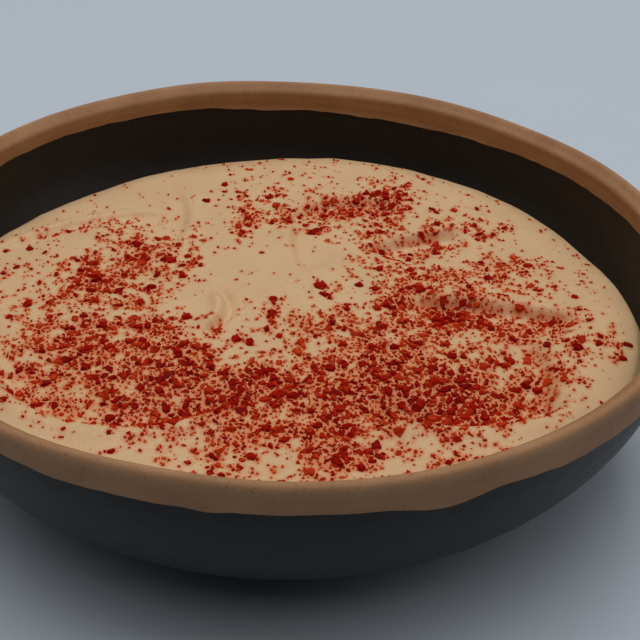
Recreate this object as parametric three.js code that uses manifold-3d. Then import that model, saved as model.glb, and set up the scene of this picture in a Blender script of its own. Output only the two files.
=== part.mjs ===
// A round stoneware bowl filled with hummus, smoothed with a spoon and sprinkled with chilli flakes.
// Millimetres, +Z up. The origin is the middle of the bowl's foot, on the surface it stands on,
// and -Y is the front.

import * as THREE from 'three';
import { mergeVertices } from 'three/addons/utils/BufferGeometryUtils.js';
import Module from 'manifold-3d';

// ---- bowl: driving dimensions
const RIM_RADIUS = 80; // outside, at the lip
const BOWL_HEIGHT = 46; // foot to the highest line of the lip
const FOOT_RADIUS = 34;
const FOOT_HEIGHT = 2.4;
const FOOT_CHAMFER = 0.6;
const BELLY_RADIUS = 32; // where the outer curve would run out level, under the belly
const BELLY_FULLNESS = 2.1; // 2 is an ellipse, more is squarer
const LIP_OUTER_ROUND = 1;
const LIP_BEVEL = 1.5; // length of the slope between the two rounds of the lip
const LIP_BEVEL_TILT = 45; // degrees, falling towards the inside
const LIP_INNER_ROUND = 1.2;
const FLOOR_THICKNESS = 6.5;
const INSIDE_FULLNESS = 2.6;

// ---- hummus: driving dimensions
const FILL_GAP = 0.35; // between the hummus and the bowl, so that the two stay separate
const FILL_LEVEL = 30.2; // the smoothed border, above the foot
const FILL_TILT = 0.8; // the border stands higher towards FILL_TILT_TOWARDS and lower opposite
const FILL_TILT_TOWARDS = 40; // degrees
const EDGE_DROP = 3.6; // how far the rounded edge falls at the wall
const EDGE_WIDTH = 10;
// Where the edge lies lower still, or higher if the drop is below zero: azimuth in degrees, how much, and
// how wide in degrees.
const EDGE_DIPS = [
  { azimuth: 140, drop: 2, width: 22 },
  { azimuth: 108, drop: 0.9, width: 16 },
  { azimuth: 24, drop: 0.7, width: 11 },
  { azimuth: -5, drop: -1.4, width: 12 },
];
const EDGE_DIP_FROM = 48; // radius at which the level begins to fall towards a dip
const MOUND = { x: -4, y: 10, radius: 24, rise: 0.9 }; // the bare middle

// Marks of the spoon. Each is an arc with a gentle inner side, a steep outer side and a small crest
// beyond it: middle of the arc, its radius, where it starts and ends, and how deep it is.
const STROKES = [
  { x: 32, y: -4, radius: 37, from: -112, to: -57, depth: 2.6, inner: 10, outer: 1.8, crest: 0.9 },
  { x: -29, y: -14, radius: 28, from: -158, to: -50, depth: 2.4, inner: 10, outer: 1.8, crest: 0.9 },
  { x: 5, y: -15, radius: 30, from: -84, to: -46, depth: 1.5, inner: 8, outer: 1.6, crest: 0.6 },
  { x: 22, y: -27, radius: 28, from: -24, to: 26, depth: 1.5, inner: 9, outer: 1.8, crest: 0.5 },
  { x: 32, y: -47, radius: 46.5, from: 56, to: 97, depth: 2.1, inner: 8, outer: 1.4, crest: 0.6 },
  { x: 40, y: 0, radius: 28.5, from: 92, to: 134, depth: 2.2, inner: 7, outer: 1.5, crest: 0.6 },
  { x: -32, y: -3, radius: 39, from: 84, to: 152, depth: 0.8, inner: 4, outer: 0.9, crest: 0.5 },
  { x: 16, y: 26, radius: 17, from: 60, to: 150, depth: 1.3, inner: 6, outer: 1.7, crest: 0.6 },
  { x: 34, y: 24, radius: 31.5, from: 168, to: 202, depth: 1, inner: 7, outer: 1.4, crest: 0.5 },
  { x: -55, y: 34, radius: 31, from: -22, to: 26, depth: 0.8, inner: 5, outer: 1.3, crest: 0.4 },
  { x: -21.5, y: -4.5, radius: 10, from: -55, to: 36, depth: 1.2, inner: 1.1, outer: -1, crest: 1.1 },
];
const STROKE_FADE = 0.3; // share of an arc's half length over which it dies away at each end

// ---- chilli flakes that stand out: driving dimensions
const FLAKE_COUNT = 190;
const FLAKE_SPACING = 2.6;
const FLAKE_LARGEST = 1.5; // half width of those that fall by chance
const FLAKE_SMALLEST = 0.8;
const FLAKE_THICKNESS = 0.9;
const FLAKE_PROUD = 0.42; // what stands above the hummus
const FLAKE_TILT = 14; // degrees, at most
const FLAKE_REACH = 66; // none that falls by chance lies nearer to the wall than this radius
const FLAKE_SEED = 20731;

// The flakes that stand out: x, y and half width.
const STANDOUTS = [
  // back, left of the middle
  [-19, 43, 1.2], [-4.5, 45.5, 1.5], [-12, 48, 1], [-15, 48, 0.8], [-9, 34.5, 1.3], [-11, 30, 1],
  [-11, 38.5, 0.8], [-3.5, 32, 0.8], [-5.5, 18, 0.8], [-21.5, 16.5, 1.5], [-25, 14.5, 1.5], [-22.5, 12.5, 1],
  [-18.5, 12.5, 1], [-24, 21.5, 1.2], [-29, 25.5, 1], [-42.5, 25.5, 0.8], [-62, 21, 1.1], [-53, 18.5, 1],
  [-58, 12, 1], [-60.5, 9.5, 0.9], [-49, 9, 1.1], [-52, 5.5, 1.3], [-40, 6.5, 1.5], [-35, 2, 1.7],
  [-28.5, 3.5, 1.4], [-27.5, 8.5, 1.5],
  // back, right of the middle
  [33, 56.5, 0.9], [25.5, 50.5, 0.9], [29, 44.5, 1], [23, 46.5, 1.6], [8.5, 38, 1.5], [13, 42, 1.1],
  [19, 40.5, 1], [23, 38, 1.3], [18, 34.5, 0.9], [21.5, 31.5, 0.9], [6.5, 29, 1.6], [0.5, 32.5, 1],
  [43, 32.5, 1.3], [40.5, 30, 0.9], [50, 32.5, 1.1], [34, 27, 0.9], [43, 26, 0.8], [27, 18.5, 1.1],
  [27, 12.5, 1.4], [53, 15.5, 1.5], [60, 14.5, 0.8], [43.5, 13, 1.2], [63.5, 8.5, 0.7], [57, 5.5, 0.8],
  [60.5, 1, 1], [7.5, 4, 1.6], [8, 1, 1.2], [15.5, 5, 1.1], [37, 0.5, 1.2], [53, 4.5, 0.9],
  // front, left of the middle
  [-53, -3, 1.5], [-48.5, -2.5, 1.2], [-56, -8, 1.2], [-43, -12, 1.3], [-36, -12, 1.3], [-23, -8.5, 1.2],
  [-20, -8, 1.6], [-34.5, -3.5, 1.3], [-52.5, -26.5, 1.3], [-51.5, -33, 1.4], [-51.5, -37.5, 1.1],
  [-46.5, -37, 0.9], [-42.5, -22.5, 1.6], [-34.5, -19, 1.4], [-19, -24, 1.5], [-22.5, -28, 1.6],
  [-33.5, -26, 1.4], [-32, -39, 1.3], [-30.5, -43.5, 1.2], [-36.5, -41, 1.3], [-30, -51.5, 1.1],
  [-31, -47, 0.7], [-11.5, -53, 1.1], [-12.5, -57, 1], [-16.5, -54.5, 0.8], [-7.5, -55.5, 0.8],
  [-21, -41.5, 1.5], [-9, -37, 1.6], [-8, -40, 1.5], [-3, -44.5, 1.3], [-4.5, -27, 1.5], [-11.5, -27, 1.4],
  // front, right of the middle
  [12.5, -4, 1.1], [6, -14.5, 0.9], [21.5, -17.5, 1.2], [22, -23.5, 1.1], [28.5, -24, 1.4], [19, -10.5, 1.3],
  [19.5, -31, 1.5], [35, -20.5, 1.2], [43, -22, 1.3], [34.5, -2, 1.7], [31.5, -6.5, 1.6], [42, -9.5, 1.2],
  [49.5, -10, 1.3], [56.5, -7, 1.1], [61.5, -9.5, 0.9], [52, -17, 1.4], [57.5, -17, 1.2], [62, -17.5, 1.3],
  [68, -17, 1.3], [66, -21.5, 1.2], [57.5, -23, 0.7], [52.5, -25.5, 1], [59.5, -35, 0.7], [50, -36.5, 1.5],
  [40.5, -42.5, 1.1], [37.5, -39, 1.2], [24.5, -43, 1.2], [31, -47.5, 1.1], [30.5, -51, 1], [29, -53.5, 1],
  [17, -52, 1], [16.5, -49, 1.3], [9.5, -54, 1.6], [6, -43.5, 1.4], [9.5, -33, 1.5], [25, -34.5, 1.4],
  [30.5, -30.5, 1.5], [33.5, -33, 1.6], [44.5, -28.5, 1.4],
];

// Where the chilli fell, thickest first, and where hardly any did.
const DRIFTS = [
  { x: -6, y: -31, long: 38, wide: 11, turn: 0, share: 1.0 },
  { x: 36, y: -9, long: 20, wide: 10, turn: -8, share: 0.9 },
  { x: 34, y: -32, long: 15, wide: 8, turn: -15, share: 0.85 },
  { x: -39, y: -20, long: 18, wide: 12, turn: 20, share: 0.75 },
  { x: -38, y: 8, long: 20, wide: 11, turn: 80, share: 0.62 },
  { x: 20, y: 43, long: 13, wide: 9, turn: 15, share: 0.7 },
  { x: -8, y: 42, long: 12, wide: 10, turn: 0, share: 0.32 },
  { x: 27, y: 17, long: 16, wide: 12, turn: 60, share: 0.42 },
  { x: 45, y: 22, long: 16, wide: 9, turn: 90, share: 0.34 },
  { x: 9, y: -48, long: 22, wide: 8, turn: 0, share: 0.5 },
  { x: 8, y: -10, long: 14, wide: 7, turn: 0, share: 0.34 },
  { x: 60, y: -15, long: 8, wide: 6, turn: 0, share: 0.3 },
];
const CLEARINGS = [
  { x: -5, y: 12, long: 24, wide: 17, turn: 90, share: 1 },
  { x: -12, y: -12, long: 10, wide: 7, turn: 90, share: 0.7 },
  { x: -30, y: -50, long: 16, wide: 6, turn: -12, share: 0.9 },
  { x: 50, y: -42, long: 20, wide: 7, turn: 42, share: 0.95 },
  { x: -36, y: 50, long: 24, wide: 12, turn: 40, share: 0.95 },
];

// ---- facets
const SECTORS = 64;
const WALL_STEPS = 7;
const BOTTOM_STEPS = 5;
const SURFACE_RINGS = 29;

const wasm = await Module();
wasm.setup();

const rad = THREE.MathUtils.degToRad;
const clamp = THREE.MathUtils.clamp;

// A quarter of a superellipse: how far out the wall is, as a share, at a share of its depth.
function superellipse(share, fullness) {
  return (1 - clamp(share, 0, 1) ** fullness) ** (1 / fullness);
}

// ---- bowl

function outerRadius(z) {
  const depth = BOWL_HEIGHT - LIP_OUTER_ROUND;
  return BELLY_RADIUS + (RIM_RADIUS - BELLY_RADIUS) * superellipse((depth - z) / (depth - FOOT_HEIGHT),
    BELLY_FULLNESS);
}

// The lip from outside to inside: a small round, a slope that falls inwards and a larger round.
function lipPoints() {
  const slopeNormal = 90 + LIP_BEVEL_TILT;
  const towards = (angle) => new THREE.Vector2(Math.cos(rad(angle)), Math.sin(rad(angle)));
  const round = (centre, radius, angles) => angles.map(
    (angle) => centre.clone().addScaledVector(towards(angle), radius),
  );
  const outerCentre = new THREE.Vector2(RIM_RADIUS - LIP_OUTER_ROUND, BOWL_HEIGHT - LIP_OUTER_ROUND);
  const outer = round(outerCentre, LIP_OUTER_ROUND, [0, 45, 90, slopeNormal]);
  const innerCentre = outerCentre.clone()
    .addScaledVector(towards(slopeNormal + 90), LIP_BEVEL)
    .addScaledVector(towards(slopeNormal), LIP_OUTER_ROUND - LIP_INNER_ROUND);
  const inner = round(innerCentre, LIP_INNER_ROUND, [slopeNormal, (slopeNormal + 180) / 2, 180]);
  return [...outer, ...inner];
}

const LIP = lipPoints();
const INSIDE_TOP = LIP[LIP.length - 1]; // where the lip runs into the inside wall

function innerRadius(z) {
  const share = (INSIDE_TOP.y - z) / (INSIDE_TOP.y - FLOOR_THICKNESS);
  return INSIDE_TOP.x * superellipse(share, INSIDE_FULLNESS);
}

// Points of a wall curve at even turns from level to upright, so that its bend is evenly faceted.
function wallHeights(low, high, steps) {
  return Array.from({ length: steps + 1 }, (_, i) => {
    const turn = (i / steps) * (Math.PI / 2);
    return high - (high - low) * Math.cos(turn);
  });
}

function bowlProfile() {
  const outerTop = BOWL_HEIGHT - LIP_OUTER_ROUND;
  const outer = wallHeights(FOOT_HEIGHT, outerTop, WALL_STEPS)
    .slice(1, -1)
    .map((z) => new THREE.Vector2(outerRadius(z), z));
  const inner = wallHeights(FLOOR_THICKNESS, INSIDE_TOP.y, WALL_STEPS)
    .slice(1, -1)
    .map((z) => new THREE.Vector2(innerRadius(z), z));
  return [
    new THREE.Vector2(0, 0),
    new THREE.Vector2(FOOT_RADIUS - FOOT_CHAMFER, 0),
    new THREE.Vector2(FOOT_RADIUS, FOOT_CHAMFER),
    new THREE.Vector2(FOOT_RADIUS, FOOT_HEIGHT),
    ...outer,
    ...LIP,
    ...inner.reverse(),
    new THREE.Vector2(0, FLOOR_THICKNESS),
  ];
}

// LatheGeometry turns its profile about Y, so the result is stood up to turn about Z.
function turned(profile) {
  const lathe = new THREE.LatheGeometry(profile, SECTORS);
  lathe.rotateX(Math.PI / 2);
  lathe.deleteAttribute('normal');
  lathe.deleteAttribute('uv');
  return mergeVertices(lathe, 1e-4);
}

// ---- hummus

function angleBetween(angle, middle) {
  const turn = angle - middle;
  return Math.atan2(Math.sin(turn), Math.cos(turn));
}

// The level that one mark of the spoon adds at a place, below zero in its furrow.
function strokeHeight(stroke, x, y) {
  const dx = x - stroke.x;
  const dy = y - stroke.y;
  const middle = rad((stroke.from + stroke.to) / 2);
  const half = rad((stroke.to - stroke.from) / 2);
  const off = Math.abs(angleBetween(Math.atan2(dy, dx), middle)) / half;
  const fade = 1 - THREE.MathUtils.smoothstep(off, 1 - STROKE_FADE, 1 + STROKE_FADE);
  const across = Math.hypot(dx, dy) - stroke.radius;
  const side = across < 0 ? stroke.inner : stroke.outer;
  const furrow = -stroke.depth * Math.exp(-((across / side) ** 2));
  const crest = stroke.crest * Math.exp(-(((across - 2.2 * stroke.outer) / (1.6 * stroke.outer)) ** 2));
  return fade * (furrow + crest);
}

// How much lower the edge lies in the direction of a place.
function edgeDip(x, y) {
  return EDGE_DIPS.reduce((sum, dip) => {
    const away = THREE.MathUtils.radToDeg(angleBetween(Math.atan2(y, x), rad(dip.azimuth)));
    return sum + dip.drop * Math.exp(-((away / dip.width) ** 2));
  }, 0);
}

function surfaceHeight(x, y) {
  const r = Math.hypot(x, y);
  const tilt = FILL_TILT * (r / RIM_RADIUS) * Math.cos(Math.atan2(y, x) - rad(FILL_TILT_TOWARDS));
  const mound = MOUND.rise * Math.exp(-(((x - MOUND.x) ** 2 + (y - MOUND.y) ** 2) / MOUND.radius ** 2));
  const edge = innerRadius(FILL_LEVEL - EDGE_DROP);
  const fall = clamp((r - (edge - EDGE_WIDTH)) / EDGE_WIDTH, 0, 1);
  const rounded = EDGE_DROP * (1 - Math.sqrt(1 - fall ** 2));
  const calm = 1 - fall ** 2; // the marks die away at the wall
  const marks = STROKES.reduce((sum, stroke) => sum + strokeHeight(stroke, x, y), 0);
  const dip = edgeDip(x, y) * THREE.MathUtils.smoothstep(r, EDGE_DIP_FROM, RIM_RADIUS - 10);
  return FILL_LEVEL + tilt + mound + calm * marks - rounded - dip;
}

// How far out the edge of the hummus reaches in the direction of a place.
function edgeRadius(x, y) {
  const tilt = 0.9 * FILL_TILT * Math.cos(Math.atan2(y, x) - rad(FILL_TILT_TOWARDS));
  return innerRadius(FILL_LEVEL - EDGE_DROP + tilt - edgeDip(x, y)) - FILL_GAP;
}

function hummusBody() {
  const bottom = FLOOR_THICKNESS + FILL_GAP;
  const deepestDip = Math.max(...EDGE_DIPS.map((dip) => dip.drop));
  const wallTop = FILL_LEVEL - EDGE_DROP - FILL_TILT - deepestDip - 1.2;
  const depth = INSIDE_TOP.y - FLOOR_THICKNESS;
  const turnAtWallTop = Math.acos((INSIDE_TOP.y - wallTop) / depth);
  const wall = Array.from({ length: BOTTOM_STEPS }, (_, i) => {
    const turn = (turnAtWallTop * (i + 1)) / BOTTOM_STEPS;
    const z = INSIDE_TOP.y - depth * Math.cos(turn);
    return new THREE.Vector2(innerRadius(z) - FILL_GAP, z + FILL_GAP);
  });
  const edge = innerRadius(FILL_LEVEL) - FILL_GAP; // stands for the edge until each point has its own place
  const above = BOWL_HEIGHT; // marks the points of the surface until then
  const surface = Array.from({ length: SURFACE_RINGS + 1 }, (_, i) => {
    const share = 1 - i / SURFACE_RINGS;
    return new THREE.Vector2(edge * share ** 0.92, above);
  });
  const body = turned([new THREE.Vector2(0, bottom), ...wall, ...surface]);
  const at = body.attributes.position;
  for (let i = 0; i < at.count; i++) {
    if (at.getZ(i) > BOWL_HEIGHT - 1) {
      const share = edgeRadius(at.getX(i), at.getY(i)) / edge;
      const x = at.getX(i) * share;
      const y = at.getY(i) * share;
      at.setXYZ(i, x, y, surfaceHeight(x, y));
    }
  }
  return body;
}

// ---- chilli

// A seeded run of numbers from 0 to 1.
function makeRandom(seed) {
  let state = seed;
  return () => {
    state = (state * 48271) % 2147483647;
    return state / 2147483647;
  };
}

function patchShare(patch, x, y) {
  const turn = rad(patch.turn);
  const dx = x - patch.x;
  const dy = y - patch.y;
  const along = (dx * Math.cos(turn) + dy * Math.sin(turn)) / patch.long;
  const across = (dy * Math.cos(turn) - dx * Math.sin(turn)) / patch.wide;
  return patch.share * Math.exp(-(along ** 2 + across ** 2));
}

// How thickly the chilli lies, from 0 to 1.
function chilliShare(x, y) {
  const fallen = DRIFTS.reduce((sum, drift) => sum + patchShare(drift, x, y), 0.05);
  const kept = CLEARINGS.reduce((product, bare) => product * (1 - patchShare(bare, x, y)), 1);
  return clamp(fallen * kept, 0, 1);
}

// The places of the largest flakes: those that stand out, and then more where chilli fell, each a little
// away from the others.
function flakePlaces() {
  const random = makeRandom(FLAKE_SEED);
  const drawTurnAndTilt = () => ({ turn: random() * 360, tilt: (2 * random() - 1) * FLAKE_TILT });
  const places = STANDOUTS.map(([x, y, size]) => ({ x, y, size, ...drawTurnAndTilt() }));
  while (places.length < FLAKE_COUNT) {
    const x = (2 * random() - 1) * FLAKE_REACH;
    const y = (2 * random() - 1) * FLAKE_REACH;
    const chance = random();
    const tooFar = Math.hypot(x, y) > FLAKE_REACH;
    const tooClose = places.some((other) => Math.hypot(other.x - x, other.y - y) < FLAKE_SPACING);
    if (tooFar || tooClose || chance > chilliShare(x, y)) {
      continue;
    }
    const size = THREE.MathUtils.lerp(FLAKE_SMALLEST, FLAKE_LARGEST, random() ** 2);
    places.push({ x, y, size, ...drawTurnAndTilt() });
  }
  return places;
}

// One flake: an uneven five- or six-sided chip, longer than it is wide.
function flakeGeometry(size, random) {
  const corners = 5 + Math.floor(random() * 2);
  const outline = new THREE.Shape();
  for (let i = 0; i < corners; i++) {
    const angle = ((i + 0.5 * random()) / corners) * 2 * Math.PI;
    const reach = size * (0.75 + 0.25 * random());
    const point = [reach * Math.cos(angle), 0.72 * reach * Math.sin(angle)];
    if (i === 0) {
      outline.moveTo(...point);
    } else {
      outline.lineTo(...point);
    }
  }
  outline.closePath();
  return new THREE.ExtrudeGeometry(outline, { depth: FLAKE_THICKNESS, bevelEnabled: false });
}

function surfaceNormal(x, y) {
  const step = 0.5;
  const slopeX = (surfaceHeight(x + step, y) - surfaceHeight(x - step, y)) / (2 * step);
  const slopeY = (surfaceHeight(x, y + step) - surfaceHeight(x, y - step)) / (2 * step);
  return new THREE.Vector3(-slopeX, -slopeY, 1).normalize();
}

// A flake lies along the surface, a little tilted, with its lower part sunk in.
function placedFlake(place, random) {
  const chip = flakeGeometry(place.size, random);
  chip.translate(0, 0, FLAKE_PROUD - FLAKE_THICKNESS);
  chip.rotateX(rad(place.tilt));
  chip.rotateZ(rad(place.turn));
  const up = new THREE.Vector3(0, 0, 1);
  chip.applyQuaternion(new THREE.Quaternion().setFromUnitVectors(up, surfaceNormal(place.x, place.y)));
  chip.translate(place.x, place.y, surfaceHeight(place.x, place.y));
  return chip;
}

// ---- joining

function toManifold(geometry) {
  const bare = geometry.clone();
  bare.deleteAttribute('normal');
  bare.deleteAttribute('uv');
  const merged = mergeVertices(bare, 1e-4);
  return new wasm.Manifold(new wasm.Mesh({
    numProp: 3,
    vertProperties: new Float32Array(merged.attributes.position.array),
    triVerts: new Uint32Array(merged.index.array),
  }));
}

function fromManifold(solid) {
  const mesh = solid.getMesh();
  const geometry = new THREE.BufferGeometry();
  geometry.setAttribute('position', new THREE.BufferAttribute(mesh.vertProperties, 3));
  geometry.setIndex(new THREE.BufferAttribute(mesh.triVerts, 1));
  return geometry;
}

// The hummus with its largest flakes, as one closed body without loose chips.
function hummusWithFlakes() {
  const random = makeRandom(FLAKE_SEED + 1);
  const joined = flakePlaces().reduce(
    (solid, place) => solid.add(toManifold(placedFlake(place, random))),
    toManifold(hummusBody()),
  );
  const whole = joined.decompose().sort((a, b) => b.volume() - a.volume())[0];
  return fromManifold(whole);
}

// ---- the object

function piece(name, geometry, color, roughness) {
  geometry.computeVertexNormals();
  const mesh = new THREE.Mesh(geometry, new THREE.MeshStandardMaterial({ color, roughness, metalness: 0 }));
  mesh.name = name;
  return mesh;
}

const hummusBowl = new THREE.Group();
hummusBowl.name = 'hummus_in_bowl';
hummusBowl.add(piece('bowl', turned(bowlProfile()), 0x2a2825, 0.5));
hummusBowl.add(piece('hummus', hummusWithFlakes(), 0xc5a57d, 0.6));

export default hummusBowl;
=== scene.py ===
"""A bowl of hummus with chilli flakes: the finished look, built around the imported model.

The named sizes below are in millimetres, as the model's own are, and become metres where a mesh is made.
"""

import math
from collections import namedtuple

import bpy
import numpy as np
from mathutils import Matrix, Vector


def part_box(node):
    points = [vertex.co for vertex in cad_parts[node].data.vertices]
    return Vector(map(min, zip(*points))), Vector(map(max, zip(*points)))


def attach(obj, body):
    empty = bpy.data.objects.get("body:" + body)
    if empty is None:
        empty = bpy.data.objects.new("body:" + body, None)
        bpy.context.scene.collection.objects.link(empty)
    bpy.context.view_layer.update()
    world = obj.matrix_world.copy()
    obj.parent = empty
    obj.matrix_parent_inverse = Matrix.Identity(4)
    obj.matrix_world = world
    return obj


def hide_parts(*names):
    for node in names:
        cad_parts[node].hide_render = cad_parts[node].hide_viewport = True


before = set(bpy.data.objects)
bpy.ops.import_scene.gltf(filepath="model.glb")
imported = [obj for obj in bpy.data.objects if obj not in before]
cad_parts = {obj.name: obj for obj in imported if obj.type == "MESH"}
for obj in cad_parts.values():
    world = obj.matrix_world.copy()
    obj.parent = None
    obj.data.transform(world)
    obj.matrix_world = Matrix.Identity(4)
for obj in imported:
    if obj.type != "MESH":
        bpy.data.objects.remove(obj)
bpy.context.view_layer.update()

MM = 0.001

# A smooth bump on something round: where it is and how wide it is, in degrees, and its height.
Bump = namedtuple("Bump", "azimuth height width")
# A mark of the spoon: the middle and the radius of the arc that it follows, the azimuths between which it
# runs, the depth of its furrow and how wide that is on its inner and its outer side, and the height of the
# crest beside it.
Stroke = namedtuple("Stroke", "x y radius start end depth inner outer crest")
# An oval patch of chilli, or of none: its middle, half length and half width, how far it is turned in
# degrees, and how much chilli lies in its middle.
Patch = namedtuple("Patch", "x y long wide turn share")
# One size of the finer chilli: the width of the grid's cells, half widths from the smallest to the largest,
# how much of it fell, how far it keeps to where the chilli lies thickest, and its usual tilt in degrees.
FlakeKind = namedtuple("FlakeKind", "cell sizes share gather tilt seed")

# ---- the bowl, as the model has it
_, BOWL_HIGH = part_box("bowl")
RIM_RADIUS = BOWL_HIGH.x / MM
BOWL_HEIGHT = BOWL_HIGH.z / MM
FOOT_RADIUS = 34
FOOT_HEIGHT = 2.4
FOOT_CHAMFER = 0.6
BELLY_RADIUS = 32
BELLY_FULLNESS = 2.1
LIP_OUTER_ROUND = 1.0
LIP_BEVEL = 1.5
LIP_BEVEL_TILT = 45
LIP_INNER_ROUND = 1.2
FLOOR_THICKNESS = 6.5
INSIDE_FULLNESS = 2.6

# ---- the bowl's finish
BELLY_FROM = FOOT_RADIUS + 0.4  # the radius from which the curve of the belly is used
CURVE_STEPS = 160  # points along each wall's curve
BOWL_SECTORS = 600
OUTER_ROWS = 46
OUTER_ROW_SPREAD = 0.8  # a power that brings the rows closer together towards the glaze line
CLAY_ROWS = 34
INNER_ROWS = 40
INNER_ROW_SPREAD = 1.2
LIP_ROLL = 0.4  # how much fuller the inside of the wall is just under the slope of the lip
# Distances past the top of the lip: where that begins, is full and ends, and where the look of the outside
# gives way to that of the lip, and that of the lip to that of the inside.
LIP_ROLL_FROM, LIP_ROLL_FULL, LIP_ROLL_TO = 2.2, 3.5, 7.5
OUTSIDE_TO_LIP = (-4, -0.5)
LIP_TO_INSIDE = (2.4, 4)
BARE_FOOT_HEIGHT = FOOT_HEIGHT - 0.2  # of the part of the foot that is bare clay
GLAZE_THICKNESS = 0.16
GLAZE_EDGE = 0.35  # how wide the slope at its edge is
GLAZE_BEAD = 0.14  # how much thicker the glaze is just behind its edge
GLAZE_BEAD_WIDTH = 0.5
OUTER_GLAZE_DEPTH = 6.6  # of the glaze line under the lip, outside
INNER_GLAZE_DEPTH = 5.4
# Where the glaze lines sag, with how much lower they run there.
OUTER_SAGS = [
    Bump(-71, 1.7, 4.5), Bump(-50, 1.4, 9), Bump(-36, 2.4, 8), Bump(-104, 0.4, 9), Bump(-128, -0.7, 10),
    Bump(-98, 0.5, 2), Bump(-117, 0.6, 6), Bump(-150, 0.9, 9), Bump(40, 1.1, 12), Bump(110, 0.8, 9),
    Bump(165, 0.7, 6),
]
INNER_SAGS = [
    Bump(62, 1.1, 20), Bump(97, 0.6, 7), Bump(82, 0.35, 16), Bump(22, 0.4, 9), Bump(130, -0.7, 22),
    Bump(-60, 0.8, 20), Bump(-140, 0.5, 14),
]
SAG_WAVES = [(9, 0.25), (2.6, 0.18), (1.3, 0.12)]  # between the sags: their length and height
SAG_RADIUS = 40  # of the circle around which the noise for them is read
OUTER_SAG_SEED = 51
INNER_SAG_SEED = 61
# Where the rim isn't quite level.
RIM_SWELLS = [
    Bump(106, 0.6, 13), Bump(44, -0.55, 14), Bump(152, -0.5, 14), Bump(-127, -0.8, 11), Bump(-104, 0.5, 10),
    Bump(-36, -0.85, 16),
]
THROWING_DEPTH = 0.05  # of the lines that the potter's fingers left
THROWING_PITCH = 2.9
THROWING_DRIFT = 1.4  # how far the lines run up and down, in radians of their pitch
OUT_OF_ROUND = [(3, 0.16, 0.5), (5, 0.1, 2.1)]  # waves around the wall: their number, height and start
FINISH_FROM = FOOT_RADIUS + 3  # the distances along the section between which all this sets in
FINISH_FULL = FOOT_RADIUS + 8

# ---- the hummus, as the model has it
FILL_LEVEL = 30.2
FILL_TILT = 0.8
FILL_TILT_TOWARDS = 40
EDGE_DROP = 3.6
EDGE_WIDTH = 10
MOUND = {"x": -4, "y": 10, "radius": 24, "rise": 0.9}
STROKES = [
    Stroke(32, -4, 37, -112, -57, 2.6, 10, 1.8, 0.9),
    Stroke(-29, -14, 28, -158, -50, 2.4, 10, 1.8, 0.9),
    Stroke(5, -15, 30, -84, -46, 1.5, 8, 1.6, 0.6),
    Stroke(22, -27, 28, -24, 26, 1.5, 9, 1.8, 0.5),
    Stroke(32, -47, 46.5, 56, 97, 2.1, 8, 1.4, 0.6),
    Stroke(40, 0, 28.5, 92, 134, 2.2, 7, 1.5, 0.6),
    Stroke(-32, -3, 39, 84, 152, 0.8, 4, 0.9, 0.5),
    Stroke(16, 26, 17, 60, 150, 1.3, 6, 1.7, 0.6),
    Stroke(34, 24, 31.5, 168, 202, 1.0, 7, 1.4, 0.5),
    Stroke(-55, 34, 31, -22, 26, 0.8, 5, 1.3, 0.4),
    Stroke(-21.5, -4.5, 10, -55, 36, 1.2, 1.1, -1, 1.1),
]
STROKE_FADE = 0.3
CREST_AT = 2.2  # how far out a crest lies, in widths of its furrow's outer side
CREST_WIDTH = 1.6  # in the same widths
# Where the edge of the hummus lies lower on the bowl, with how much lower.
EDGE_DIPS = [Bump(140, 2.0, 22), Bump(108, 0.9, 16), Bump(24, 0.7, 11), Bump(-5, -1.4, 12)]
EDGE_DIP_FROM = 48  # radius at which the hummus begins to fall towards a dip in its edge
EDGE_DIP_FULL = RIM_RADIUS - 10  # and at which it has reached it

# ---- the hummus's finish
EDGE_TOUCHES = [Bump(23, 0.3, 10), Bump(-15, -1.2, 13)]  # more dips, which the model doesn't have
EDGE_WANDER = 0.2  # how far the edge wanders up and down besides
EDGE_WANDER_CELL = 6
EDGE_WANDER_RADIUS = 50  # of the circle around which the noise for it is read
EDGE_WANDER_SEED = 34
BEYOND_EDGE_SLOPE = 1.4  # how steeply the hummus falls further out than the model's edge
RELIEF = [(14, 0.25, 31), (5.5, 0.13, 32), (1.8, 0.03, 33)]  # what the spoon leaves: size, height and seed
FILL_TILT_AT_EDGE = 0.9  # the share of the tilt that the edge of the hummus has
SURFACE_RINGS = 165
SURFACE_RING_SPREAD = 0.92  # a power that brings the rings closer together towards the edge
SURFACE_SECTORS = 560
UNDERSIDE_ROWS = 8
UNDERSIDE_ROW_SPREAD = 1.6  # the same, towards the floor
SEAT = 0.25  # how far the hummus reaches into the glaze, so that no gap shows
SEAT_DEPTH = 0.4  # how far under its edge the underside ends
UNDERSIDE_GAP = 0.1  # over the floor of the bowl

# ---- the chilli, as the model has it
FLAKE_COUNT = 190
FLAKE_SPACING = 2.6
FLAKE_LARGEST = 1.5
FLAKE_SMALLEST = 0.8
FLAKE_TILT = 14
FLAKE_REACH = 66
FLAKE_SEED = 20731
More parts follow.
